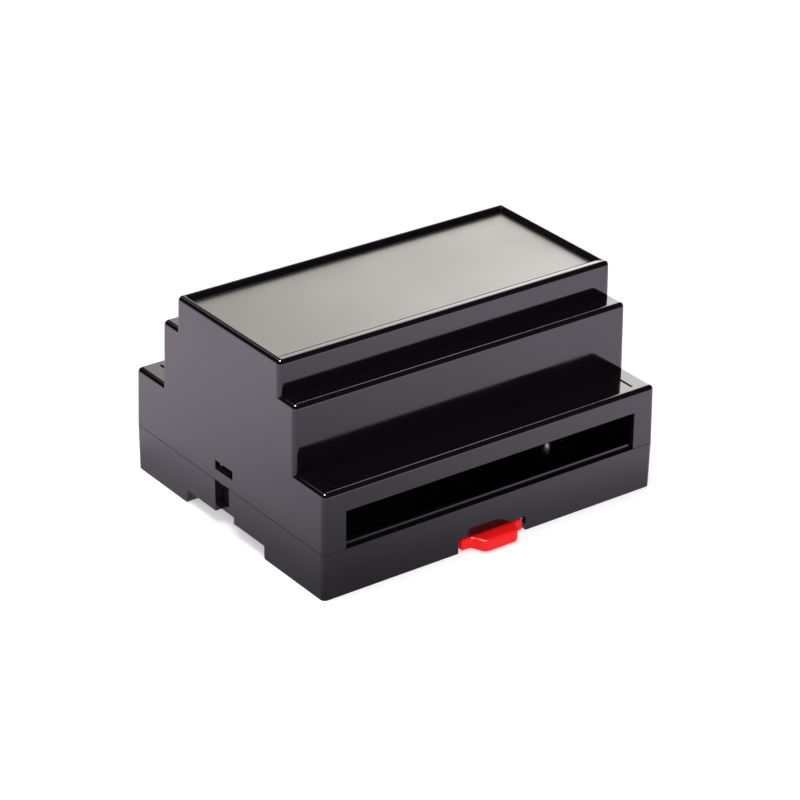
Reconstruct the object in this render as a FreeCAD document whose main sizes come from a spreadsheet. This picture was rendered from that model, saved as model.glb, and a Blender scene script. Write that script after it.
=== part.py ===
"""Stepped DIN rail enclosure, six modules wide: base, cover, front plate and rail clip.

Every piece is drawn in the housing's own coordinates: X runs along the rail, the clip
side faces -Y, and Z is zero at the feet. Each piece is then placed so that the shared
origin lies at the middle of the rail seat.
"""
import FreeCAD, Part
import os
import re
import Sketcher

# Driving sizes, in millimetres, angles in degrees
SIZES = (
    ("overall_length", 107.0, "along the rail, at the parting line"),
    ("overall_depth", 87.0, "across the rail, at the parting line"),
    ("overall_height", 58.7, "feet to top rim"),
    ("parting_height", 13.2, "feet to the line where cover and base meet"),
    ("low_shelf_height", 30.2, "feet to the roof over the terminals"),
    ("mid_shelf_height", 49.2, "feet to the second shelf"),
    ("mid_depth", 60.8, "depth of the middle tier at its foot"),
    ("top_depth", 47.0, "depth of the top tier at its foot"),
    ("draft_angle", 0.75, "lean of every outer wall, for the mould"),
    ("corner_radius", 1.4, "outer edges of the cover and upright corners of the base"),
    ("rim_radius", 0.1, "small radius on the base along the parting line"),
    ("foot_radius", 0.7, "rounding of the feet beside the rail channel"),
    ("wall", 2.0, "thickness of the outer walls"),
    ("fit_gap", 0.15, "clearance between pieces that are snapped together"),
    ("running_gap", 0.3, "clearance round pieces that slide or flex"),
    ("rail_width", 35.0, "width of the rail that the seat takes"),
    ("rail_gap", 0.5, "room either side of the rail"),
    ("rail_offset", 1.0, "rail centre behind the middle of the housing"),
    ("seat_height", 3.8, "feet to the face that lies on the rail"),
    ("floor_thickness", 2.0, "floor above the rail seat"),
    ("bay_height", 4.1, "depth of the hollow bays under the floor"),
    ("channel_rib", 1.6, "ribs that line the rail channel"),
    ("cross_rib", 1.2, "ribs that stiffen the bays"),
    ("cross_rib_pitch", 15.0, "distance from rib to rib"),
    ("cross_rib_start", 22.0, "middle of the housing to the first rib"),
    ("cross_rib_drop", 3.4, "height of the ribs below the bay roof"),
    ("hook_spacing", 56.0, "fixed hook to fixed hook along the rail"),
    ("hook_width", 10.0, "length of a fixed hook along the rail"),
    ("hook_reach", 1.8, "how far hooks and clip reach under the rail's flange"),
    ("flange_room", 1.2, "height left for the rail's flange under the seat"),
    ("hook_thickness", 2.0, "height of the hooks' noses"),
    ("hook_ramp", 1.0, "slope under each nose, which rides over the rail"),
    ("lip_setback", 1.1, "outer face to the base's upstanding lip"),
    ("lip_height", 1.4, "lip above the parting line"),
    ("pier_width", 7.0, "solid wall either side of a terminal opening"),
    ("opening_height", 10.6, "terminal opening above the parting line"),
    ("slit_inset", 6.0, "outer end face to a roof slit"),
    ("slit_width", 0.6, "width of the roof slits"),
    ("slit_length", 6.5, "length of the roof slits"),
    ("slit_setback", 3.0, "front or rear face to a roof slit"),
    ("rim_thickness", 2.4, "end rim beside the recess for the front plate"),
    ("rim_depth", 3.6, "long rim beside the recess"),
    ("bezel_length", 0.9, "slope from the end rims down into the recess, across"),
    ("bezel_depth", 2.1, "slope from the long rims down into the recess, across"),
    ("bezel_drop", 0.85, "height that both slopes lose"),
    ("recess_drop", 0.9, "top rim down to the front plate"),
    ("plate_thickness", 1.5, "front plate"),
    ("plate_gap", 0.45, "gap all round it"),
    ("plate_corner", 0.5, "rounding of its corners and of the recess"),
    ("ledge_thickness", 1.5, "ledge that carries the front plate"),
    ("ledge_width", 3.0, "ledge, recess edge to window edge"),
    ("ledge_root", 0.6, "part of the ledge that runs into the wall"),
    ("snap_spacing", 60.0, "front plate snap to snap along its length"),
    ("snap_width", 6.0, "width of a snap leg"),
    ("snap_thickness", 1.2, "thickness of a snap leg"),
    ("snap_catch", 0.8, "how far a snap reaches under the ledge"),
    ("snap_nose", 1.6, "height of a snap's nose"),
    ("latch_offset", 2.2, "middle of the end latches behind the middle of the housing"),
    ("latch_slot", 6.4, "slot in the end wall below a latch"),
    ("latch_width", 5.8, "width of a latch arm"),
    ("latch_arm", 1.6, "thickness of a latch arm"),
    ("latch_foot", 1.2, "spread of the arm where it stands on the floor"),
    ("latch_crown", 0.6, "arm above its catch"),
    ("catch_edge", 0.2, "upright face of the catch above its underside"),
    ("window_offset", 1.3, "middle of the latch window behind the middle"),
    ("window_width", 8.0, "latch window across"),
    ("window_sill", 3.2, "parting line to the latch window"),
    ("window_height", 2.5, "height of the latch window"),
    ("nub_width", 1.2, "nub that hangs from the top of the latch window, across"),
    ("nub_drop", 0.6, "how far the nub hangs down"),
    ("nub_offset", 1.3, "middle of the nub behind the middle of the window"),
    ("end_notch_width", 8.5, "step cut above the channel in the end wall"),
    ("end_notch_height", 2.1, "height of that step above the rail seat"),
    ("post_inset", 14.5, "outer end face to a board post"),
    ("post_setback", 16.5, "front or rear face to a board post"),
    ("post_diameter", 6.0, "board post"),
    ("post_height", 4.2, "board post above the floor"),
    ("pilot_diameter", 2.2, "screw hole in a board post"),
    ("pilot_depth", 4.0, "depth of that hole"),
    ("guide_depth", 1.6, "inside ribs that hold an upright board"),
    ("guide_thickness", 1.2, "thickness of those ribs"),
    ("guide_slot", 1.8, "room for the board between two ribs"),
    ("guide_spacing", 34.0, "board to board across the housing"),
    ("guide_foot", 26.0, "feet to the lower end of those ribs"),
    ("clip_notch", 22.0, "gap in the front wall for the clip"),
    ("clip_width", 20.0, "bar of the clip"),
    ("clip_bar", 2.2, "depth of the bar, front to back"),
    ("clip_lift", 0.3, "feet to the underside of the bar"),
    ("clip_round", 0.9, "rounding of the bar's ends"),
    ("clip_edge", 0.9, "rounding of the clip's front edges, top and bottom"),
    ("stem_width", 16.0, "sliding part of the clip"),
    ("stem_thickness", 2.2, "thickness of the sliding part"),
    ("clip_travel", 4.0, "travel from locked to released"),
    ("tab_root", 14.4, "pull tab where it leaves the bar"),
    ("tab_tip", 10.6, "pull tab across its front"),
    ("tab_reach", 4.1, "pull tab out from the bar"),
    ("tab_round", 2.4, "rounding of the tab's front corners"),
    ("tab_blend", 1.0, "hollow where the tab meets the bar"),
    ("rail_guide", 1.4, "ribs that guide the clip"),
    ("lip_under_clip", 1.3, "their inward lips, across"),
    ("lip_under_thickness", 0.9, "their inward lips, up and down"),
    ("rail_guide_length", 13.0, "length of those ribs, from behind the clip's bar"),
    ("tongue_width", 12.2, "flexible tongue in the floor"),
    ("tongue_length", 13.5, "length of the tongue"),
    ("tongue_slit", 0.8, "slit round the tongue"),
    ("lug_width", 8.0, "stop lug under the tongue"),
    ("lug_length", 2.0, "stop lug along the travel"),
    ("lug_drop", 2.0, "stop lug below the bay roof"),
    ("lug_ramp", 0.8, "slope on its front, which the clip pushes past"),
)

# Sizes that follow from the driving ones, written once and used by every piece
DERIVED = {
    "half_length": "overall_length / 2",
    "half_depth": "overall_depth / 2",
    "inner_half_length": "half_length - wall",
    "inner_half_depth": "half_depth - wall",
    "lean": "tan(draft_angle)",
    "foot_half": "half_depth - lean * parting_height",
    "low_top_half": "half_depth - lean * (low_shelf_height - parting_height)",
    "mid_half": "mid_depth / 2",
    "mid_top_half": "mid_half - lean * (mid_shelf_height - low_shelf_height)",
    "top_half": "top_depth / 2",
    "top_rim_half": "top_half - lean * (overall_height - mid_shelf_height)",
    "end_rim_half": "half_length - lean * (overall_height - parting_height)",
    "floor_top": "seat_height + floor_thickness",
    "channel_half": "rail_width / 2 + rail_gap",
    "channel_front": "rail_offset - channel_half",
    "channel_rear": "rail_offset + channel_half",
    "hook_top": "seat_height - flange_room",
    "hook_bottom": "hook_top - hook_thickness",
    "lip_outer_length": "half_length - lip_setback",
    "lip_outer_depth": "half_depth - lip_setback",
    "lip_top": "parting_height + lip_height",
    "opening_half": "half_length - pier_width",
    "opening_top": "parting_height + opening_height",
    "recess_half_length": "end_rim_half - rim_thickness",
    "recess_half_depth": "top_rim_half - rim_depth",
    "plate_top": "overall_height - recess_drop",
    "plate_bottom": "plate_top - plate_thickness",
    "ledge_bottom": "plate_bottom - ledge_thickness",
    "window_half_length": "recess_half_length - ledge_width",
    "window_half_depth": "recess_half_depth - ledge_width",
    "snap_top": "ledge_bottom - fit_gap",
    "snap_outer": "window_half_depth - fit_gap",
    "slot_front": "latch_offset - latch_slot / 2",
    "slot_rear": "latch_offset + latch_slot / 2",
    "window_bottom": "parting_height + window_sill",
    "window_top": "window_bottom + window_height",
    "latch_face": "inner_half_length - running_gap - lean * (window_top - parting_height)",
    "latch_back": "latch_face - latch_arm",
    "catch_face": "half_length - 2 * running_gap",
    "catch_bottom": "window_bottom + fit_gap",
    "catch_top": "window_top - running_gap",
    "arm_top": "catch_top + latch_crown",
    "post_x": "half_length - post_inset",
    "post_y": "half_depth - post_setback",
    "clip_top": "bay_height - running_gap",
    "stem_bottom": "clip_top - stem_thickness",
    "stem_half": "stem_width / 2",
    "clip_tip": "channel_front + hook_reach",
    "bar_front": "-half_depth",
    "bar_rear": "clip_bar - half_depth",
    "guide_inner": "stem_half + running_gap",
    "guide_outer": "guide_inner + rail_guide",
    "guide_bottom": "stem_bottom - running_gap - lip_under_thickness",
    "tongue_root": "channel_front + rail_gap",
    "tongue_tip": "tongue_root - tongue_length",
    "lug_front": "tongue_tip + fit_gap",
    "lug_rear": "lug_front + lug_length",
}

document = FreeCAD.newDocument("din_rail_enclosure")
sheet = document.addObject("Spreadsheet::Sheet", "Sizes")
for row, (alias, number, meaning) in enumerate(SIZES, start=1):
    sheet.set(f"A{row}", alias)
    sheet.set(f"B{row}", str(number))
    sheet.set(f"C{row}", meaning)
    sheet.setAlias(f"B{row}", alias)
document.recompute()

ALIASES = {alias for alias, number, meaning in SIZES}
AXES = {"XY_Plane": 2, "XZ_Plane": 1, "YZ_Plane": 0}


def formula(text):
    """Text in plain size names, turned into an expression on the sheet's cells."""

    def word(match):
        name = match.group()
        if name in DERIVED:
            return f"({formula(DERIVED[name])})"
        return f"Sizes.{name}" if name in ALIASES else name

    return re.sub(r"[a-z_]+", word, text)


def bind(thing, path, text):
    """Ties one property of a feature to an expression in size names."""
    thing.setExpression(path, formula(text))


def amount(body, text):
    """The present value of an expression, used only to draw a sketch near its solution."""
    return float(body.evalExpression(formula(text)))


def new_body(label):
    """An empty body with its label, placed so that the rail seat's middle is the origin."""
    body = document.addObject("PartDesign::Body", label)
    body.Label = label
    bind(body, "Placement.Base.y", "-rail_offset")
    bind(body, "Placement.Base.z", "-seat_height")
    return body


def origin_plane(body, role):
    return next(item for item in body.Origin.OriginFeatures if item.Role == role)


def new_sketch(body, name, role, level):
    """A sketch parallel to one of the body's origin planes, at a level along that axis."""
    sketch = body.newObject("Sketcher::SketchObject", name)
    sketch.AttachmentSupport = [(origin_plane(body, role), "")]
    sketch.MapMode = "FlatFace"
    # The upright plane across the rail faces -Y, so its levels count the other way
    bind(sketch, "AttachmentOffset.Base.z", f"-({level})" if role == "XZ_Plane" else level)
    return sketch


def place_point(sketch, curve, end, axis, text):
    """Fixes one coordinate of a point: 0 is across the sketch, 1 is up the sketch."""
    if text == "0":
        sketch.addConstraint(Sketcher.Constraint("PointOnObject", curve, end, axis - 2))
        return
    kind = ("DistanceX", "DistanceY")[axis]
    now = amount(sketch, text)
    index = sketch.addConstraint(Sketcher.Constraint(kind, -1, 1, curve, end, now))
    name = f"{'xy'[axis]}_{curve}_{end}"
    sketch.renameConstraint(index, name)
    bind(sketch, f"Constraints.{name}", text)


def add_outline(sketch, corners):
    """A closed straight-sided outline. Corners are pairs of expressions in size names.

    Neighbours that share a coordinate are joined by a level or upright line, and only the
    first of them carries the dimension.
    """
    first = sketch.GeometryCount
    count = len(corners)
    points = [FreeCAD.Vector(amount(sketch, a), amount(sketch, b), 0) for a, b in corners]
    for index in range(count):
        line = Part.LineSegment(points[index], points[(index + 1) % count])
        sketch.addGeometry(line, False)
    for index in range(count):
        following = (index + 1) % count
        curve = first + index
        join = Sketcher.Constraint("Coincident", curve, 2, first + following, 1)
        sketch.addConstraint(join)
        for axis, kind in ((0, "Vertical"), (1, "Horizontal")):
            if corners[index][axis] == corners[following][axis]:
                sketch.addConstraint(Sketcher.Constraint(kind, curve))
            if corners[index][axis] != corners[index - 1][axis]:
                place_point(sketch, curve, 1, axis, corners[index][axis])


def add_box(sketch, low_a, high_a, low_b, high_b):
    """A rectangle between two limits across the sketch and two up the sketch."""
    add_outline(sketch, [(low_a, low_b), (high_a, low_b), (high_a, high_b), (low_a, high_b)])


def add_circle(sketch, across, up, diameter):
    centre = FreeCAD.Vector(amount(sketch, across), amount(sketch, up), 0)
    radius = amount(sketch, diameter) / 2
    curve = sketch.addGeometry(Part.Circle(centre, FreeCAD.Vector(0, 0, 1), radius), False)
    place_point(sketch, curve, 3, 0, across)
    place_point(sketch, curve, 3, 1, up)
    index = sketch.addConstraint(Sketcher.Constraint("Diameter", curve, 2 * radius))
    name = f"diameter_{curve}"
    sketch.renameConstraint(index, name)
    bind(sketch, f"Constraints.{name}", diameter)


def volume(body):
    return body.Shape.Volume if body.Tip else 0.0


def pad(body, sketch, length, both_ways=False, backwards=False):
    """Adds material from a sketch, and makes sure that it did."""
    before = volume(body)
    feature = body.newObject("PartDesign::Pad", sketch.Name + "_pad")
    feature.Profile = sketch
    feature.SideType = "Symmetric" if both_ways else "One side"
    feature.Reversed = backwards
    bind(feature, "Length", length)
    document.recompute()
    if body.Shape.Volume <= before:
        raise RuntimeError(f"{feature.Name} adds nothing to {body.Label}")
    return feature


def cut(body, sketch, length, both_ways=False, backwards=False):
    """Takes material away from a sketch, and makes sure that it did."""
    before = volume(body)
    feature = body.newObject("PartDesign::Pocket", sketch.Name + "_cut")
    feature.Profile = sketch
    feature.SideType = "Symmetric" if both_ways else "One side"
    feature.Reversed = backwards
    bind(feature, "Length", length)
    document.recompute()
    if body.Shape.Volume >= before:
        raise RuntimeError(f"{feature.Name} takes nothing from {body.Label}")
    return feature


def loft_cut(body, name, sketches):
    """Takes away the space that runs straight from one sketch to the next."""
    before = volume(body)
    feature = body.newObject("PartDesign::SubtractiveLoft", name)
    feature.Profile = sketches[0]
    feature.Sections = sketches[1:]
    feature.Ruled = True
    document.recompute()
    if body.Shape.Volume >= before:
        raise RuntimeError(f"{name} takes nothing from {body.Label}")
    return feature


def mirror(body, feature, role):
    """Repeats a feature on the other side of one of the body's origin planes."""
    copy = body.newObject("PartDesign::Mirrored", feature.Name + "_mirror")
    copy.Originals = [feature]
    copy.MirrorPlane = (origin_plane(body, role), [""])
    body.Tip = copy
    document.recompute()
    return copy


def middle(edge):
    """The point half way along an edge, in the housing's coordinates."""
    first, last = edge.ParameterRange
    return edge.valueAt((first + last) / 2)


def edge_names(feature, wanted):
    """Names of the edges of a feature that a test on the edge picks."""
    edges = feature.Shape.Edges
    return [f"Edge{index}" for index, edge in enumerate(edges, start=1) if wanted(edge)]


def face_names(feature, wanted):
    faces = feature.Shape.Faces
    return [f"Face{index}" for index, face in enumerate(faces, start=1) if wanted(face)]


def round_edges(body, name, radius, wanted):
    """Rounds the edges of the body's last feature that a test picks."""
    last = body.Tip
    names = edge_names(last, wanted)
    if not names:
        raise RuntimeError(f"{name} finds no edge on {body.Label}")
    feature = body.newObject("PartDesign::Fillet", name)
    feature.Base = (last, names)
    bind(feature, "Radius", radius)
    document.recompute()
    return feature


def runs_along(edge, axis):
    """True for a straight edge parallel to an axis, give or take the mould's draft."""
    box = edge.BoundBox
    extent = (box.XLength, box.YLength, box.ZLength)[axis]
    return extent > 0.99 * edge.Length


def near(value, target, within=0.05):
    return abs(value - target) < within


def lean_ends(body, level, distance):
    """Cuts a thin wedge off both end faces, from the parting line to a level beyond the piece."""
    wedges = new_sketch(body, "end_wedges", "XZ_Plane", "0")
    for end in ("-", ""):
        add_outline(wedges, [
            (f"{end}half_length", "parting_height"),
            (f"{end}(half_length + 1)", "parting_height"),
            (f"{end}(half_length + 1)", level),
            (f"{end}(half_length - lean * ({distance}))", level),
        ])
    return cut(body, wedges, "overall_depth + 2", both_ways=True)


def make_cover():
    """Three-tier cover: one stepped shell, open below, with the ledge for the front plate."""
    body = new_body("cover")
    profile = new_sketch(body, "tier_profile", "YZ_Plane", "0")
    rear = [
        ("half_depth", "parting_height"),
        ("low_top_half", "low_shelf_height"),
        ("mid_half", "low_shelf_height"),
        ("mid_top_half", "mid_shelf_height"),
        ("top_half", "mid_shelf_height"),
        ("top_rim_half", "overall_height"),
    ]
    front = [(f"-({across})", up) for across, up in reversed(rear)]
    add_outline(profile, rear + front)
    pad(body, profile, "overall_length", both_ways=True)

    solid = lean_ends(body, "overall_height + 1", "overall_height + 1 - parting_height")
    low, mid, parting = (
        amount(body, name) for name in ("low_shelf_height", "mid_shelf_height", "parting_height")
    )
    mid_foot, top_foot = amount(body, "mid_half"), amount(body, "top_half")

    def convex(edge):
        box = edge.BoundBox
        at_parting = near(box.ZMax, parting)
        across = abs(middle(edge).y)
        flat = box.ZLength < 0.01 and box.YLength < 0.01
        in_corner = flat and (
            near(box.ZMax, low) and near(across, mid_foot)
            or near(box.ZMax, mid) and near(across, top_foot)
        )
        return not at_parting and not in_corner

    corners = [middle(edge) for edge in solid.Shape.Edges if convex(edge)]

    shell = body.newObject("PartDesign::Thickness", "shell")
    shell.Base = (solid, face_names(solid, lambda face: near(face.BoundBox.ZMax, parting)))
    shell.Join = "Intersection"
    shell.Reversed = True
    bind(shell, "Value", "wall")
    document.recompute()

    def outer(edge):
        return any(middle(edge).isEqual(corner, 0.01) for corner in corners)

    round_edges(body, "outer_rounding", "corner_radius", outer)

    # Seat of the front plate: a frame that runs round under the roof, a recess cut into both
    # so that a ledge is left round the window, and a rim that slopes down on all four sides
    ledge = new_sketch(body, "ledge", "XY_Plane", "ledge_bottom")
    root_length, root_depth = (
        f"({half} - wall + ledge_root)" for half in ("end_rim_half", "top_rim_half")
    )
    add_box(ledge, f"-{root_length}", root_length, f"-{root_depth}", root_depth)
    add_box(ledge, "-window_half_length", "window_half_length",
            "-window_half_depth", "window_half_depth")
    pad(body, ledge, "overall_height - wall / 2 - ledge_bottom")
    recess = new_sketch(body, "recess", "XY_Plane", "overall_height")
    add_box(recess, "-recess_half_length", "recess_half_length",
            "-recess_half_depth", "recess_half_depth")
    cut(body, recess, "recess_drop + plate_thickness")
    recess_x, recess_y = amount(body, "recess_half_length"), amount(body, "recess_half_depth")
    round_edges(body, "recess_corners", "plate_corner",
                lambda edge: runs_along(edge, 2) and near(abs(middle(edge).x), recess_x)
                and near(abs(middle(edge).y), recess_y))
    slope = []
    for name, level, share in (("bezel_foot", "overall_height - bezel_drop", "0"),
                               ("bezel_brow", "overall_height", "1")):
        section = new_sketch(body, name, "XY_Plane", level)
        across = f"(recess_half_length + {share} * bezel_length)"
        along = f"(recess_half_depth + {share} * bezel_depth)"
        add_box(section, f"-{across}", across, f"-{along}", along)
        slope.append(section)
    loft_cut(body, "bezel", slope)

    # Terminal openings front and rear: one notch in the lower edge, from face to face
    opening = new_sketch(body, "terminal_opening", "XZ_Plane", "0")
    add_box(opening, "-opening_half", "opening_half", "parting_height - 1", "opening_top")
    cut(body, opening, "overall_depth + 2", both_ways=True)

    # Windows that the base's latches spring into, with a nub that keeps each latch down
    window = new_sketch(body, "latch_window", "YZ_Plane", "0")
    add_box(window, "window_offset - window_width / 2", "window_offset + window_width / 2",
            "window_bottom", "window_top")
    cut(body, window, "overall_length + 2", both_ways=True)
    nub = new_sketch(body, "window_nub", "YZ_Plane", "half_length - wall / 2")
    nub_middle = "(window_offset + nub_offset)"
    add_box(nub, f"{nub_middle} - nub_width / 2", f"{nub_middle} + nub_width / 2",
            "window_top - nub_drop", "window_top + wall / 4")
    mirror(body, pad(body, nub, "wall / 2 - fit_gap"), "YZ_Plane")

    # Slits in the roof over the terminals, near each corner
    slits = new_sketch(body, "roof_slits", "XY_Plane", "low_shelf_height")
    for end in ("-", ""):
        across = f"{end}(half_length - slit_inset)"
        for side in ("-", ""):
            outer = f"{side}(half_depth - slit_setback)"
            inner = f"{side}(half_depth - slit_setback - slit_length)"
            low_y, high_y = (outer, inner) if side else (inner, outer)
            add_box(slits, f"{across} - slit_width / 2", f"{across} + slit_width / 2",
                    low_y, high_y)
    cut(body, slits, "wall + 1")

    # Rebate inside the lower edge, for the base's upstanding lip
    rebate = new_sketch(body, "lip_rebate", "XY_Plane", "parting_height")
    add_box(rebate, "-(lip_outer_length + fit_gap)", "lip_outer_length + fit_gap",
            "-(lip_outer_depth + fit_gap)", "lip_outer_depth + fit_gap")
    cut(body, rebate, "lip_height + fit_gap", backwards=True)

    # Pairs of ribs on each end wall, which hold an upright board
    ribs = new_sketch(body, "board_ribs", "XY_Plane", "guide_foot")
    for board in ("-guide_spacing / 2", "guide_spacing / 2"):
        for side in ("-", "+"):
            near_face = f"{board} {side} guide_slot / 2"
            far_face = f"{board} {side} (guide_slot / 2 + guide_thickness)"
            low_y, high_y = (far_face, near_face) if side == "-" else (near_face, far_face)
            add_box(ribs, "inner_half_length - guide_depth", "half_length - wall / 2",
                    low_y, high_y)
    rib_pad = pad(body, ribs, "mid_shelf_height - wall - guide_foot")
    mirror(body, rib_pad, "YZ_Plane")
    return body


def make_base():
    """Tray with the rail channel below, hooks, guides for the clip, latches and board posts."""
    body = new_body("base")
    block = new_sketch(body, "block_profile", "YZ_Plane", "0")
    add_outline(block, [
        ("half_depth", "parting_height"),
        ("-half_depth", "parting_height"),
        ("-foot_half", "0"),
        ("foot_half", "0"),
    ])
    pad(body, block, "overall_length", both_ways=True)
    lean_ends(body, "-1", "parting_height + 1")
    round_edges(body, "upright_corners", "corner_radius", lambda edge: runs_along(edge, 2))
    parting = amount(body, "parting_height")
    round_edges(body, "rim_edge", "rim_radius",
                lambda edge: near(edge.BoundBox.ZMin, parting, 0.01))

    tray = new_sketch(body, "tray", "XY_Plane", "parting_height")
    add_box(tray, "-inner_half_length", "inner_half_length",
            "-inner_half_depth", "inner_half_depth")
    cut(body, tray, "parting_height - floor_top")
    lip = new_sketch(body, "lip", "XY_Plane", "parting_height")
    add_box(lip, "-lip_outer_length", "lip_outer_length", "-lip_outer_depth", "lip_outer_depth")
    add_box(lip, "-inner_half_length", "inner_half_length",
            "-inner_half_depth", "inner_half_depth")
    pad(body, lip, "lip_height")

    # Underside: the rail channel from end to end, and a hollow bay on each side of it
    channel = new_sketch(body, "rail_channel", "YZ_Plane", "0")
    add_box(channel, "channel_front", "channel_rear", "-1", "seat_height")
    cut(body, channel, "overall_length + 2", both_ways=True)
    channel_middle, channel_edge = amount(body, "rail_offset"), amount(body, "channel_half")

    def beside_channel(edge):
        across = abs(middle(edge).y - channel_middle)
        return runs_along(edge, 0) and near(across, channel_edge) and near(edge.BoundBox.ZMax, 0)

    round_edges(body, "foot_rounding", "foot_radius", beside_channel)
    bays = new_sketch(body, "bays", "XY_Plane", "0")
    add_box(bays, "-inner_half_length", "inner_half_length",
            "-inner_half_depth", "channel_front - channel_rib")
    add_box(bays, "-inner_half_length", "inner_half_length",
            "channel_rear + channel_rib", "inner_half_depth")
    cut(body, bays, "bay_height", backwards=True)
    ribs = new_sketch(body, "cross_ribs", "XY_Plane", "bay_height")
    for end in ("-", ""):
        for step in range(2):
            across = f"{end}(cross_rib_start + {step} * cross_rib_pitch)"
            sides = (
                ("-(inner_half_depth + wall / 2)", "channel_front - channel_rib / 2"),
                ("channel_rear + channel_rib / 2", "inner_half_depth + wall / 2"),
            )
            for low_y, high_y in sides:
                add_box(ribs, f"{across} - cross_rib / 2", f"{across} + cross_rib / 2",
                        low_y, high_y)
    pad(body, ribs, "cross_rib_drop", backwards=True)

    # The clip's way in: a gap in the front wall and one in the rib behind it
    way = new_sketch(body, "clip_way", "XY_Plane", "0")
    add_box(way, "-clip_notch / 2", "clip_notch / 2", "-(half_depth + 1)", "-inner_half_depth")
    add_box(way, "-guide_outer", "guide_outer",
            "channel_front - channel_rib", "channel_front")
    cut(body, way, "bay_height", backwards=True)

    # Fixed hooks that reach under the rear flange of the rail
    hook = new_sketch(body, "fixed_hook", "YZ_Plane", "hook_spacing / 2")
    add_outline(hook, [
        ("channel_rear + channel_rib / 2", "hook_bottom"),
        ("channel_rear - hook_reach + hook_ramp", "hook_bottom"),
        ("channel_rear - hook_reach", "hook_bottom + hook_ramp"),
        ("channel_rear - hook_reach", "hook_top"),
        ("channel_rear + channel_rib / 2", "hook_top"),
    ])
    mirror(body, pad(body, hook, "hook_width", both_ways=True), "YZ_Plane")

    # L-shaped ribs under the floor, between which the clip slides
    guide = new_sketch(body, "clip_guide", "XZ_Plane", "bar_rear + running_gap")
    add_outline(guide, [
        ("guide_inner", "bay_height + fit_gap"),
        ("guide_outer", "bay_height + fit_gap"),
        ("guide_outer", "guide_bottom"),
        ("guide_inner - lip_under_clip", "guide_bottom"),
        ("guide_inner - lip_under_clip", "guide_bottom + lip_under_thickness"),
        ("guide_inner", "guide_bottom + lip_under_thickness"),
    ])
    mirror(body, pad(body, guide, "rail_guide_length", backwards=True), "YZ_Plane")

    # Springy tongue in the floor, with the lug that keeps the clip from falling out
    slit = new_sketch(body, "tongue_slit", "XY_Plane", "floor_top")
    inner, outer = "tongue_width / 2", "(tongue_width / 2 + tongue_slit)"
    add_outline(slit, [
        (f"-{outer}", "tongue_root"),
        (f"-{inner}", "tongue_root"),
        (f"-{inner}", "tongue_tip"),
        (inner, "tongue_tip"),
        (inner, "tongue_root"),
        (outer, "tongue_root"),
        (outer, "tongue_tip - tongue_slit"),
        (f"-{outer}", "tongue_tip - tongue_slit"),
    ])
    cut(body, slit, "floor_thickness + fit_gap")
    lug = new_sketch(body, "stop_lug", "YZ_Plane", "0")
    add_outline(lug, [
        ("lug_front", "bay_height + fit_gap"),
        ("lug_front + lug_ramp", "bay_height - lug_drop"),
        ("lug_rear", "bay_height - lug_drop"),
        ("lug_rear", "bay_height + fit_gap"),
    ])
    pad(body, lug, "lug_width", both_ways=True)

    # End walls: a step above the channel and a slot beside each latch
    slots = new_sketch(body, "latch_slots", "XY_Plane", "0")
    add_box(slots, "inner_half_length", "half_length + 1", "slot_front", "slot_rear")
    slot_cut = cut(body, slots, "lip_top + 1", backwards=True)
    mirror(body, slot_cut, "YZ_Plane")
    steps = new_sketch(body, "end_steps", "XY_Plane", "0")
    add_box(steps, "inner_half_length", "half_length + 1",
            "slot_rear - end_notch_width", "slot_front + fit_gap")
    step_cut = cut(body, steps, "seat_height + end_notch_height", backwards=True)
    mirror(body, step_cut, "YZ_Plane")
    arm = new_sketch(body, "latch", "XZ_Plane", "latch_offset")
    add_outline(arm, [
        ("latch_back - latch_foot", "floor_top - fit_gap"),
        ("latch_face", "floor_top - fit_gap"),
        ("latch_face", "catch_bottom"),
        ("catch_face", "catch_bottom"),
        ("catch_face", "catch_bottom + catch_edge"),
        ("latch_face", "catch_top"),
        ("latch_face", "arm_top"),
        ("latch_back", "arm_top"),
        ("latch_back", "floor_top + 2 * latch_foot"),
    ])
    mirror(body, pad(body, arm, "latch_width", both_ways=True), "YZ_Plane")

    # Posts that a circuit board is screwed down on
    posts = new_sketch(body, "board_posts", "XY_Plane", "floor_top")
    pilots = new_sketch(body, "pilot_holes", "XY_Plane", "floor_top + post_height")
    for end in ("-", ""):
        for side in ("-", ""):
            add_circle(posts, f"{end}post_x", f"{side}post_y", "post_diameter")
            add_circle(pilots, f"{end}post_x", f"{side}post_y", "pilot_diameter")
    pad(body, posts, "post_height")
    cut(body, pilots, "pilot_depth")
    return body


def make_front_plate():
    """Flat plate in the top recess, held by four snap legs under the ledge."""
    body = new_body("front_plate")
    plate = new_sketch(body, "plate", "XY_Plane", "plate_bottom")
    add_box(plate, "-(recess_half_length - plate_gap)", "recess_half_length - plate_gap",
            "-(recess_half_depth - plate_gap)", "recess_half_depth - plate_gap")
    pad(body, plate, "plate_thickness")
    round_edges(body, "plate_corners", "plate_corner", lambda edge: runs_along(edge, 2))
    legs = new_sketch(body, "snap_legs", "YZ_Plane", "snap_spacing / 2")
    for side in ("-", ""):
        add_outline(legs, [
            (f"{side}snap_outer", "plate_bottom + plate_thickness / 2"),
            (f"{side}snap_outer", "snap_top"),
            (f"{side}(snap_outer + snap_catch)", "snap_top"),
            (f"{side}(snap_outer + snap_catch)", "snap_top - snap_nose / 3"),
            (f"{side}snap_outer", "snap_top - snap_nose"),
            (f"{side}(snap_outer - snap_thickness)", "snap_top - snap_nose"),
            (f"{side}(snap_outer - snap_thickness)", "plate_bottom + plate_thickness / 2"),
        ])
    mirror(body, pad(body, legs, "snap_width", both_ways=True), "YZ_Plane")
    return body


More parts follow.
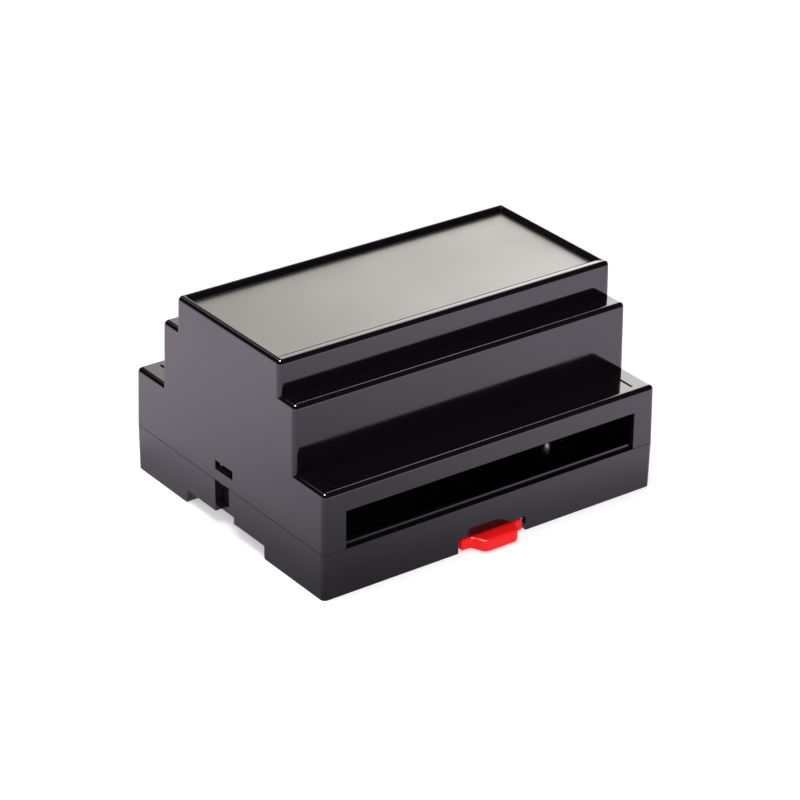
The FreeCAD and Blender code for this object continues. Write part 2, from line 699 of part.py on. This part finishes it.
def make_rail_clip():
    """Slide with a pull tab outside and a nose that reaches under the rail's flange."""
    body = new_body("rail_clip")
    plan = new_sketch(body, "bar_and_tab", "XY_Plane", "clip_lift")
    add_outline(plan, [
        ("-clip_width / 2", "bar_front"),
        ("-tab_root / 2", "bar_front"),
        ("-tab_tip / 2", "bar_front - tab_reach"),
        ("tab_tip / 2", "bar_front - tab_reach"),
        ("tab_root / 2", "bar_front"),
        ("clip_width / 2", "bar_front"),
        ("clip_width / 2", "bar_rear"),
        ("-clip_width / 2", "bar_rear"),
    ])
    pad(body, plan, "clip_top - clip_lift")
    front, reach = amount(body, "bar_front"), amount(body, "tab_reach")
    bar_end = amount(body, "clip_width / 2")

    def tab_corner(edge):
        return runs_along(edge, 2) and near(middle(edge).y, front - reach)

    def tab_hollow(edge):
        return (runs_along(edge, 2) and near(middle(edge).y, front)
                and not near(abs(middle(edge).x), bar_end))

    def bar_corner(edge):
        return (runs_along(edge, 2) and near(middle(edge).y, front)
                and near(abs(middle(edge).x), bar_end))

    round_edges(body, "tab_corners", "tab_round", tab_corner)
    round_edges(body, "tab_hollows", "tab_blend", tab_hollow)
    round_edges(body, "bar_corners", "clip_round", bar_corner)
    rear = amount(body, "bar_rear")
    round_edges(body, "front_edges", "clip_edge",
                lambda edge: edge.BoundBox.ZLength < 0.01 and edge.BoundBox.YMax < rear - 0.01)

    stem = new_sketch(body, "stem", "YZ_Plane", "0")
    add_outline(stem, [
        ("bar_rear - clip_bar / 2", "stem_bottom"),
        ("channel_front - hook_thickness", "stem_bottom"),
        ("channel_front - hook_thickness + hook_ramp", "hook_bottom"),
        ("clip_tip - hook_ramp", "hook_bottom"),
        ("clip_tip", "hook_bottom + hook_ramp"),
        ("clip_tip", "hook_top"),
        ("channel_front - running_gap", "hook_top"),
        ("channel_front - running_gap", "clip_top"),
        ("bar_rear - clip_bar / 2", "clip_top"),
    ])
    pad(body, stem, "stem_width", both_ways=True)
    window = new_sketch(body, "lug_window", "XY_Plane", "clip_top")
    add_box(window, "-(lug_width / 2 + running_gap)", "lug_width / 2 + running_gap",
            "lug_front - running_gap", "lug_rear + clip_travel + running_gap")
    cut(body, window, "stem_thickness + 1")
    return body


def check(pieces):
    """Stops the build if any object failed or any piece isn't one whole valid solid."""
    failed = [
        item.Name
        for item in document.Objects
        if "Invalid" in item.State or "Error" in item.State
    ]
    if failed:
        raise RuntimeError(f"objects that failed: {', '.join(failed)}")
    for piece in pieces:
        if piece.Shape.isNull() or not piece.Shape.isValid():
            raise RuntimeError(f"{piece.Label} has no valid shape")
        if len(piece.Shape.Solids) != 1:
            raise RuntimeError(f"{piece.Label} is {len(piece.Shape.Solids)} solids, not one")


pieces = [make_base(), make_cover(), make_front_plate(), make_rail_clip()]
document.recompute()
check(pieces)
os.makedirs("parts", exist_ok=True)
for piece in pieces:
    piece.Shape.exportStep(f"parts/{piece.Label}.step")
    print(f"{piece.Label}: {piece.Shape.Volume / 1000:.2f} cm3")
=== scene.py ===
"""The look of a stepped enclosure for rail mounting: a polished black cover and base, a
satin front plate and a red rail clip, on a white studio floor."""
import math

import bmesh
import bpy
import numpy as np
from mathutils import Matrix, Vector


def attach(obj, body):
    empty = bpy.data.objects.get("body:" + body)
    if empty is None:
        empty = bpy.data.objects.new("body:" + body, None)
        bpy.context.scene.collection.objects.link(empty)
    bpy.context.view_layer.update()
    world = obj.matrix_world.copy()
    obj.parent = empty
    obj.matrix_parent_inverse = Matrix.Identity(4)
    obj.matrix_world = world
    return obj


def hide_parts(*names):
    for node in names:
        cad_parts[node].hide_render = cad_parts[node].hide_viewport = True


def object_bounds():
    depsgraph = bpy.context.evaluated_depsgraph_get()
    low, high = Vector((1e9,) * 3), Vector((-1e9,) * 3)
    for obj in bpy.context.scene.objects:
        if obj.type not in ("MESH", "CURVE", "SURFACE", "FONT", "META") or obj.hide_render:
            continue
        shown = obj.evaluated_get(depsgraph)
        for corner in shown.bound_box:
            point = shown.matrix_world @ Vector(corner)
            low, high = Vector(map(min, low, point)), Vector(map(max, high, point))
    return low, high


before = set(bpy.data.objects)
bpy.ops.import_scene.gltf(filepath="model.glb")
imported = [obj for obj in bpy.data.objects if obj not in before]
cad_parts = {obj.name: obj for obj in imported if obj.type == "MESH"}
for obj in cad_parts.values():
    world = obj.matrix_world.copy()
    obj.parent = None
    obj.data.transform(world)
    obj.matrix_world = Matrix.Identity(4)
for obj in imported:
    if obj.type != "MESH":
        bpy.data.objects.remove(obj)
cad_low, cad_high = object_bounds()

# Which body each moulding rides on and which finish of the record it has
MOULDINGS = {
    "cover": ("housing", "housing"),
    "base": ("housing", "housing"),
    "front_plate": ("housing", "plate"),
    "rail_clip": ("clip", "clip"),
}

# Edges, in metres and degrees
MERGE_DISTANCE = 1e-6
FLAT_ANGLE = 0.3
SHARP_ANGLE = 30.0
CREASE_ANGLE = {"cover": 18.0, "base": 30.0, "front_plate": 30.0, "rail_clip": 30.0}
FLAT_WIDTH = 0.0006
EDGE_RADIUS = {"cover": 0.00012, "base": 0.00012, "front_plate": 0.00004, "rail_clip": 0.0001}
EDGE_STEPS = 2

# How much a face counts in the shading of its corners, by the weighted shading's own scale
FACE_STRENGTH = "__mod_weightednormals_faceweight"
STRONG = 16384
MEDIUM = 0

# The rim round the front plate, in metres: along X and Y from the middle of the recess, and
# up, the places of its corners as packed and as the photo has them
RECESS_MIDDLE = -0.001
RIM_BOX = (0.05145, 0.02193, 0.0524)
RIM_MOVES = {
    "cover": (
        ((-0.0514, -0.0505, -0.0500, -0.0475, 0.0475, 0.0500, 0.0505, 0.0514),
         (-0.0514, -0.05105, -0.05055, -0.0475, 0.0475, 0.05055, 0.05105, 0.0514)),
        ((-0.02188, -0.01978, -0.01928, -0.01678, 0.01678, 0.01928, 0.01978, 0.02188),
         (-0.02188, -0.02068, -0.02018, -0.01678, 0.01678, 0.02074, 0.02124, 0.02188)),
        ((0.0525, 0.05405, 0.0549), (0.0525, 0.05464, 0.0549)),
    ),
    "front_plate": (
        ((-0.05005, -0.04955, -0.0330, 0.0330, 0.04955, 0.05005),
         (-0.05085, -0.05035, -0.0330, 0.0330, 0.05035, 0.05085)),
        ((-0.01933, -0.01883, -0.0167, 0.0167, 0.01883, 0.01933),
         (-0.01815, -0.01765, -0.0167, 0.0167, 0.02054, 0.02104)),
        ((0.0525, 0.0540), (0.0525, 0.0533)),
    ),
}

# Finishes: the middle part of a noise, which holds nearly all of its values, and the
# wavelength in metres and detail of the patches that differ in roughness
NOISE_SPAN = (0.3, 0.7)
PATCHES = (0.02, 4.0)

# Camera, in metres and degrees: azimuth 0 looks along +Y
CAMERA_PLACE = (-0.440283, -0.592871, 0.396539)
CAMERA_AZIMUTH = -36.7575
CAMERA_ELEVATION = 27.0905
CAMERA_ROLL = 0.9939
CAMERA_LENS = 140.634
SENSOR_WIDTH = 36.0
CAMERA_CLIP = (0.01, 20.0)

# Studio: directions are angles from +X towards +Y, in degrees, distances are in metres, and
# a grid is the number of points across and up
FLOOR_HALF = 4.0
FLOOR_POINTS = 3
FOOT_HALF = (0.0535, 0.0435)
NEAR_CORNER = (-0.040, -0.052)
FLOOR_COLOUR = (0.79, 0.78, 0.79, 1.0)
FLOOR_SEEN = 0.50
MIRRORED_COLOUR = (0.957, 0.87, 1.0, 1.0)
MIRRORED_REACH = (-0.04, 0.175)
MIRRORED_GLOW = (0.32, 1.66)
CONTACT_REACH = (0.0, 0.022)
CONTACT_SHARE = (0.6, 1.0)
SKY_COLOUR = (1.0, 1.0, 1.0, 1.0)
SKY_SEEN = 1.0
SKY_LIGHT = 0.50
SOFTBOX_DISTANCE = 1.5
SOFTBOX_REACH = (31.0, 67.0)
SOFTBOX_TOP = 52.0
SOFTBOX_GRID = (26, 2)
SOFTBOX_RAMP = (67.0, 45.0)
SOFTBOX_RADIANCE = (0.45, 4.6)
SOFTBOX_COLOUR = (1.0, 0.985, 0.955, 1.0)
SHADE_DISTANCE = 2.5
SHADE_REACH = (67.0, 391.0)
SHADE_RISE = (3.0, 90.0)
SHADE_GRID = (64, 24)
SHADE_GLOW = 0.010
CEILING_REACH = (30.0, 68.0)
CEILING_RISE = (52.0, 90.0)
CEILING_GRID = (12, 12)
STRIP_DISTANCE = 1.6
STRIP_REACH = (92.0, 105.0)
STRIP_RISE = (40.0, 50.0)
STRIP_GRID = (9, 5)
STRIP_RADIANCE = 1.5
KEY_DIRECTION = (-0.25, -0.03, 0.96)
KEY_DISTANCE = 1.2
KEY_SIZE = 0.5
KEY_POWER = 6.0
SPARK_DISTANCE = 1.19
SPARK_RADII = (0.001, 0.26)
SPARK_GRID = (33, 3)
SPARK_RADIANCE = 45.0
FILL_DIRECTION = (-0.45, -0.80, 0.40)
FILL_DISTANCE = 1.2
FILL_SIZE = 0.6
FILL_POWER = 6.0


# Meshes

def mesh_object(name, points, faces):
    """A mesh from an array of points and an array of faces with equally many corners."""
    mesh = bpy.data.meshes.new(name)
    count, corners = faces.shape
    mesh.vertices.add(len(points))
    mesh.vertices.foreach_set("co", np.asarray(points, np.float32).ravel())
    mesh.loops.add(count * corners)
    mesh.loops.foreach_set("vertex_index", faces.astype(np.int32).ravel())
    mesh.polygons.add(count)
    mesh.polygons.foreach_set("loop_start", np.arange(0, count * corners, corners, dtype=np.int32))
    mesh.update(calc_edges=True)
    mesh.validate()
    made = bpy.data.objects.new(name, mesh)
    bpy.context.scene.collection.objects.link(made)
    return made


def grid_object(name, points):
    """A surface from a grid of points: each four neighbours make one face."""
    rows, columns = points.shape[:2]
    index = np.arange(rows * columns).reshape(rows, columns)
    faces = np.stack((index[:-1, :-1], index[:-1, 1:], index[1:, 1:], index[1:, :-1]), axis=-1)
    return mesh_object(name, points.reshape(-1, 3), faces.reshape(-1, 4))


def dome_points(distance, reach, rise, grid):
    """Part of a sphere round the origin, between two directions and two heights, both in
    degrees: distance times (cos turn cos rise, sin turn cos rise, sin rise)."""
    turn, up = np.meshgrid(np.radians(np.linspace(*reach, grid[0])),
                           np.radians(np.linspace(*rise, grid[1])))
    return distance * np.stack((np.cos(turn) * np.cos(up), np.sin(turn) * np.cos(up),
                                np.sin(up)), axis=-1)


def mark_flat_faces(mesh):
    """Gives each face a strength for the weighted shading: strong where its corners' own
    normals lie along the face's normal, so that the face is part of a flat area, and
    medium where they fan out, as on a rounded edge."""
    corners = np.empty(len(mesh.loops) * 3, np.float32)
    mesh.corner_normals.foreach_get("vector", corners)
    faces = np.empty(len(mesh.polygons) * 3, np.float32)
    mesh.polygons.foreach_get("normal", faces)
    along = np.einsum("fci,fi->fc", corners.reshape(-1, 3, 3), faces.reshape(-1, 3))
    flat = along.min(axis=1) > math.cos(math.radians(FLAT_ANGLE))
    strength = mesh.attributes.new(FACE_STRENGTH, "INT", "FACE")
    strength.data.foreach_set("value", np.where(flat, STRONG, MEDIUM).astype(np.int32))


def refit_rim(shape, moves):
    """Gives the recess steep walls under a narrow slope and a deeper plate, as in the photo:
    each corner in the rim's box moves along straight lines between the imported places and
    the new ones."""
    for corner in shape.verts:
        x, y, z = corner.co
        along = y - RECESS_MIDDLE
        if abs(x) < RIM_BOX[0] and abs(along) < RIM_BOX[1] and z > RIM_BOX[2]:
            corner.co = (np.interp(x, *moves[0]), RECESS_MIDDLE + np.interp(along, *moves[1]),
                         np.interp(z, *moves[2]))


def dressed_moulding(node):
    """The node's surface as one closed mesh with its fine edges rounded: equal corners are
    merged, the rim is refitted, flat areas are made whole, wide faces count as flat, and
    every outward edge sharper than SHARP_ANGLE gets the small radius that a mould leaves."""
    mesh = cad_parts[node].data.copy()
    mesh.name = node + "_moulding"
    mark_flat_faces(mesh)
    mesh.attributes.remove(mesh.attributes["custom_normal"])
    shape = bmesh.new()
    shape.from_mesh(mesh)
    bmesh.ops.remove_doubles(shape, verts=shape.verts, dist=MERGE_DISTANCE)
    if node in RIM_MOVES:
        refit_rim(shape, RIM_MOVES[node])
    bmesh.ops.dissolve_limit(shape, angle_limit=math.radians(FLAT_ANGLE), verts=shape.verts,
                             edges=shape.edges, use_dissolve_boundaries=False)
    strength = shape.faces.layers.int[FACE_STRENGTH]
    for face in shape.faces:
        if face.calc_area() > FLAT_WIDTH * max(edge.calc_length() for edge in face.edges):
            face[strength] = STRONG
    weight = shape.edges.layers.float.new("bevel_weight_edge")
    for edge in shape.edges:
        outward = edge.is_manifold and edge.is_convex
        edge[weight] = float(outward and edge.calc_face_angle(0.0) > math.radians(SHARP_ANGLE))
    shape.to_mesh(mesh)
    shape.free()
    mesh.shade_smooth()
    mesh.set_sharp_from_angle(angle=math.radians(CREASE_ANGLE[node]))
    moulding = bpy.data.objects.new(node + "_moulding", mesh)
    bpy.context.scene.collection.objects.link(moulding)
    edges = moulding.modifiers.new("Fine edges", "BEVEL")
    edges.limit_method = "WEIGHT"
    edges.width = EDGE_RADIUS[node]
    edges.segments = EDGE_STEPS
    edges.use_clamp_overlap = False
    edges.harden_normals = True
    edges.face_strength_mode = "FSTR_NEW"
    shading = moulding.modifiers.new("Even shading", "WEIGHTED_NORMAL")
    shading.keep_sharp = True
    shading.use_face_influence = True
    return moulding


# Nodes

def new_material(name):
    """An empty node material, and its tree."""
    material = bpy.data.materials.new(name)
    material.use_nodes = True
    tree = material.node_tree
    tree.nodes.clear()
    return material, tree


def add_node(tree, kind, settings=(), **inputs):
    """A node with its settings and inputs; an input that is a socket is linked."""
    made = tree.nodes.new(kind)
    for key, value in dict(settings).items():
        setattr(made, key, value)
    for key, value in inputs.items():
        fill_input(tree, made.inputs[key.replace("_", " ")], value)
    return made


def fill_input(tree, socket, value):
    """Links a socket's value to an input, or sets the input to a plain value."""
    if isinstance(value, bpy.types.NodeSocket):
        tree.links.new(value, socket)
    else:
        socket.default_value = value


def math_node(tree, operation, first, second):
    """The result of one sum on two values, each a number or a socket."""
    made = add_node(tree, "ShaderNodeMath", {"operation": operation})
    fill_input(tree, made.inputs[0], first)
    fill_input(tree, made.inputs[1], second)
    return made.outputs["Value"]


def ramp(tree, value, start, end, low, high, change="LINEAR"):
    """Low up to the start, high from the end on, and an even change between them, or one
    that starts and ends gently."""
    made = add_node(tree, "ShaderNodeMapRange", {"interpolation_type": change}, Value=value,
                    From_Min=start, From_Max=end, To_Min=low, To_Max=high)
    return made.outputs["Result"]


def is_mirror_ray(tree):
    """1 for the rays that a mirror or glass sends on, and 0 for all others."""
    path = add_node(tree, "ShaderNodeLightPath").outputs
    return math_node(tree, "MAXIMUM", path["Is Glossy Ray"], path["Is Transmission Ray"])


def is_camera_ray(tree):
    """1 for the camera's own rays, and 0 for all others."""
    return add_node(tree, "ShaderNodeLightPath").outputs["Is Camera Ray"]


def mixed(tree, share, first, second):
    """The first shader where the share is 0 and the second where it is 1."""
    made = add_node(tree, "ShaderNodeMixShader", Fac=share)
    tree.links.new(first, made.inputs[1])
    tree.links.new(second, made.inputs[2])
    return made.outputs["Shader"]


# Materials

def waves(tree, place, wavelength, detail=2.0):
    """Noise from 0 to 1 whose swells are about wavelength metres apart."""
    return add_node(tree, "ShaderNodeTexNoise", Vector=place, Scale=1.0 / wavelength,
                    Detail=detail).outputs["Fac"]


def bump(tree, height, depth):
    """A relief of the given depth in metres."""
    return add_node(tree, "ShaderNodeBump", Height=height, Distance=depth)


def plastic(name, colour, roughness, swell, grain, ior=1.6, sheen=(1.0, 1.0, 1.0)):
    """Moulded plastic: one colour, a roughness that varies a little from place to place,
    long shallow swells from shrinkage and a fine grain, each as (wavelength, depth), and
    the tint of its reflections."""
    material, tree = new_material(name)
    place = add_node(tree, "ShaderNodeTexCoord").outputs["Object"]
    shader = add_node(tree, "ShaderNodeBsdfPrincipled", IOR=ior)
    shader.inputs["Base Color"].default_value = (*colour, 1.0)
    shader.inputs["Specular Tint"].default_value = (*sheen, 1.0)
    rough = ramp(tree, waves(tree, place, *PATCHES), *NOISE_SPAN, *roughness)
    tree.links.new(rough, shader.inputs["Roughness"])
    swells = bump(tree, waves(tree, place, swell[0]), swell[1])
    grains = bump(tree, waves(tree, place, grain[0]), grain[1])
    tree.links.new(swells.outputs["Normal"], grains.inputs["Normal"])
    tree.links.new(grains.outputs["Normal"], shader.inputs["Normal"])
    output = add_node(tree, "ShaderNodeOutputMaterial")
    tree.links.new(shader.outputs["BSDF"], output.inputs["Surface"])
    return material


def polished_black():
    return plastic("polished_black", colour=(0.0045, 0.0033, 0.0047), roughness=(0.07, 0.11),
                   swell=(0.012, 6e-6), grain=(0.0009, 2e-7))


def satin_black():
    return plastic("satin_black", colour=(0.010, 0.010, 0.010), roughness=(0.30, 0.36),
                   swell=(0.02, 3e-6), grain=(0.0005, 1.0e-6), ior=1.97,
                   sheen=(1.0, 0.96, 0.90))


def clip_red():
    return plastic("clip_red", colour=(0.92, 0.001, 0.003), roughness=(0.34, 0.42),
                   swell=(0.006, 6e-6), grain=(0.0006, 1.5e-6), ior=1.5)


# Studio

def light_card(name, points, strength=0.0, gradient=None, colour=(1.0, 1.0, 1.0, 1.0),
               lights=True):
    """A card in the studio that mirrors show, and that also lights if asked to: it emits a
    plain strength, or one that changes evenly between two places, as (direction, start,
    end, low, high)."""
    card = grid_object(name, points)
    material, tree = new_material(name)
    glow = add_node(tree, "ShaderNodeEmission", Strength=strength, Color=colour)
    if gradient:
        direction, *limits = gradient
        place = add_node(tree, "ShaderNodeTexCoord").outputs["Object"]
        along = add_node(tree, "ShaderNodeVectorMath", {"operation": "DOT_PRODUCT"})
        tree.links.new(place, along.inputs[0])
        along.inputs[1].default_value = direction
        tree.links.new(ramp(tree, along.outputs["Value"], *limits), glow.inputs["Strength"])
    output = add_node(tree, "ShaderNodeOutputMaterial")
    tree.links.new(glow.outputs["Emission"], output.inputs["Surface"])
    card.data.materials.append(material)
    card.visible_camera = False
    card.visible_shadow = False
    card.visible_transmission = False
    card.visible_diffuse = lights


def distance_beyond(tree, half, centre=(0.0, 0.0)):
    """Distance on the floor from a rectangle round the centre, given by half its sides: the
    length of (max(|x - centre x| - half x, 0), max(|y - centre y| - half y, 0))."""
    value = add_node(tree, "ShaderNodeTexCoord").outputs["Object"]
    for operation, other in (("SUBTRACT", (*centre, 0.0)), ("ABSOLUTE", None),
                             ("SUBTRACT", (*half, 1.0)), ("MAXIMUM", (0.0, 0.0, 0.0))):
        made = add_node(tree, "ShaderNodeVectorMath", {"operation": operation})
        tree.links.new(value, made.inputs[0])
        if other:
            made.inputs[1].default_value = other
        value = made.outputs["Vector"]
    made = add_node(tree, "ShaderNodeVectorMath", {"operation": "LENGTH"})
    tree.links.new(value, made.inputs[0])
    return made.outputs["Value"]


def floor():
    """A white floor at the feet, clear from below. What mirrors show of it is a glow that
    fades towards the object's near left corner and its foot, where the floor is in its
    shade; that glow lights nothing else."""
    steps = np.linspace(-FLOOR_HALF, FLOOR_HALF, FLOOR_POINTS)
    x, y = np.meshgrid(steps, steps)
    ground = grid_object("floor", np.stack((x, y, np.full_like(x, cad_low.z)), axis=-1))
    material, tree = new_material("floor_white")
    paint = add_node(tree, "ShaderNodeBsdfDiffuse", Color=FLOOR_COLOUR)
    seen = add_node(tree, "ShaderNodeEmission", Color=FLOOR_COLOUR,
                    Strength=math_node(tree, "MULTIPLY", is_camera_ray(tree), FLOOR_SEEN))
    painted = add_node(tree, "ShaderNodeAddShader")
    tree.links.new(paint.outputs["BSDF"], painted.inputs[0])
    tree.links.new(seen.outputs["Emission"], painted.inputs[1])
    from_corner = distance_beyond(tree, (0.0, 0.0), NEAR_CORNER)
    from_foot = distance_beyond(tree, FOOT_HALF)
    strength = math_node(
        tree, "MULTIPLY",
        ramp(tree, from_corner, *MIRRORED_REACH, *MIRRORED_GLOW, change="SMOOTHSTEP"),
        ramp(tree, from_foot, *CONTACT_REACH, *CONTACT_SHARE, change="SMOOTHSTEP"),
    )
    mirrored = add_node(tree, "ShaderNodeEmission", Color=MIRRORED_COLOUR, Strength=strength)
    top = mixed(tree, is_mirror_ray(tree), painted.outputs["Shader"],
                mirrored.outputs["Emission"])
    clear = add_node(tree, "ShaderNodeBsdfTransparent").outputs["BSDF"]
    from_below = add_node(tree, "ShaderNodeNewGeometry").outputs["Backfacing"]
    output = add_node(tree, "ShaderNodeOutputMaterial")
    tree.links.new(mixed(tree, from_below, top, clear), output.inputs["Surface"])
    ground.data.materials.append(material)


def sky():
    """White to the eye and in mirrors, and a softer white as light."""
    world = bpy.data.worlds.new("studio")
    bpy.context.scene.world = world
    world.use_nodes = True
    tree = world.node_tree
    tree.nodes.clear()
    seen = math_node(tree, "MAXIMUM", is_camera_ray(tree), is_mirror_ray(tree))
    background = add_node(tree, "ShaderNodeBackground", Color=SKY_COLOUR,
                          Strength=ramp(tree, seen, 0.0, 1.0, SKY_LIGHT, SKY_SEEN))
    output = add_node(tree, "ShaderNodeOutputWorld")
    tree.links.new(background.outputs["Background"], output.inputs["Surface"])


def softbox():
    """A tall upright card that bends round behind the right end: part of a cylinder, and
    brighter from its left to its right."""
    top = SOFTBOX_DISTANCE * math.tan(math.radians(SOFTBOX_TOP))
    turn, up = np.meshgrid(np.radians(np.linspace(*SOFTBOX_REACH, SOFTBOX_GRID[0])),
                           np.linspace(0.0, top, SOFTBOX_GRID[1]))
    points = np.stack((SOFTBOX_DISTANCE * np.cos(turn), SOFTBOX_DISTANCE * np.sin(turn),
                       cad_low.z + up), axis=-1)
    middle = math.radians(0.5 * sum(SOFTBOX_RAMP))
    right = (math.sin(middle), -math.cos(middle), 0.0)
    half = SOFTBOX_DISTANCE * math.sin(math.radians(0.5 * (SOFTBOX_RAMP[0] - SOFTBOX_RAMP[1])))
    light_card("softbox", points, gradient=(right, -half, half, *SOFTBOX_RADIANCE),
               colour=SOFTBOX_COLOUR)


def edge_strip():
    """A dim card high up behind the left end, which the left edges of the shelves mirror."""
    points = dome_points(STRIP_DISTANCE, STRIP_REACH, STRIP_RISE, STRIP_GRID)
    light_card("edge_strip", points, STRIP_RADIANCE, lights=False)


def shade():
    """A dark studio ceiling that comes down on all sides but behind the object, where the
    softbox stands."""
    points = dome_points(SHADE_DISTANCE, SHADE_REACH, SHADE_RISE, SHADE_GRID)
    light_card("shade", points, SHADE_GLOW, lights=False)


def ceiling():
    """The dark ceiling above the softbox."""
    points = dome_points(SHADE_DISTANCE, CEILING_REACH, CEILING_RISE, CEILING_GRID)
    light_card("ceiling", points, SHADE_GLOW, lights=False)


def area_lamp(name, shape, size, power, direction, distance):
    """A soft lamp that faces the origin and that no surface mirrors."""
    data = bpy.data.lights.new(name, "AREA")
    data.shape = shape
    data.size = size
    data.energy = power
    lamp = bpy.data.objects.new(name, data)
    bpy.context.scene.collection.objects.link(lamp)
    lamp.location = direction * distance
    lamp.rotation_euler = direction.to_track_quat("Z", "Y").to_euler()
    lamp.visible_glossy = False


def key_lamp():
    """A soft lamp nearly overhead, and the bright disc that polished corners mirror."""
    direction = Vector(KEY_DIRECTION).normalized()
    area_lamp("key_lamp", "DISK", KEY_SIZE, KEY_POWER, direction, KEY_DISTANCE)
    side = direction.orthogonal().normalized()
    other = direction.cross(side)
    turn, reach = np.meshgrid(np.linspace(0.0, 2.0 * np.pi, SPARK_GRID[0]),
                              np.linspace(*SPARK_RADII, SPARK_GRID[1]))
    points = (np.array(direction) * SPARK_DISTANCE
              + (reach * np.cos(turn))[..., None] * np.array(side)
              + (reach * np.sin(turn))[..., None] * np.array(other))
    light_card("spark", points, SPARK_RADIANCE, lights=False)


def fill_lamp():
    """A wide soft lamp on the camera's side."""
    direction = Vector(FILL_DIRECTION).normalized()
    area_lamp("fill_lamp", "SQUARE", FILL_SIZE, FILL_POWER, direction, FILL_DISTANCE)


def camera():
    data = bpy.data.cameras.new("camera")
    data.lens = CAMERA_LENS
    data.sensor_width = SENSOR_WIDTH
    data.clip_start, data.clip_end = CAMERA_CLIP
    made = bpy.data.objects.new("camera", data)
    bpy.context.scene.collection.objects.link(made)
    turned = (Matrix.Rotation(math.radians(CAMERA_AZIMUTH), 4, "Z")
              @ Matrix.Rotation(math.radians(90.0 - CAMERA_ELEVATION), 4, "X")
              @ Matrix.Rotation(math.radians(CAMERA_ROLL), 4, "Z"))
    made.matrix_world = Matrix.Translation(CAMERA_PLACE) @ turned
    bpy.context.scene.camera = made


finishes = {"housing": polished_black(), "plate": satin_black(), "clip": clip_red()}
for node, (body, slot) in MOULDINGS.items():
    piece = dressed_moulding(node)
    piece.data.materials.clear()
    piece.data.materials.append(finishes[slot])
    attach(piece, body)
    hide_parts(node)

camera()
sky()
floor()
softbox()
edge_strip()
shade()
ceiling()
key_lamp()
fill_lamp()
bpy.context.scene.view_settings.view_transform = "Standard"
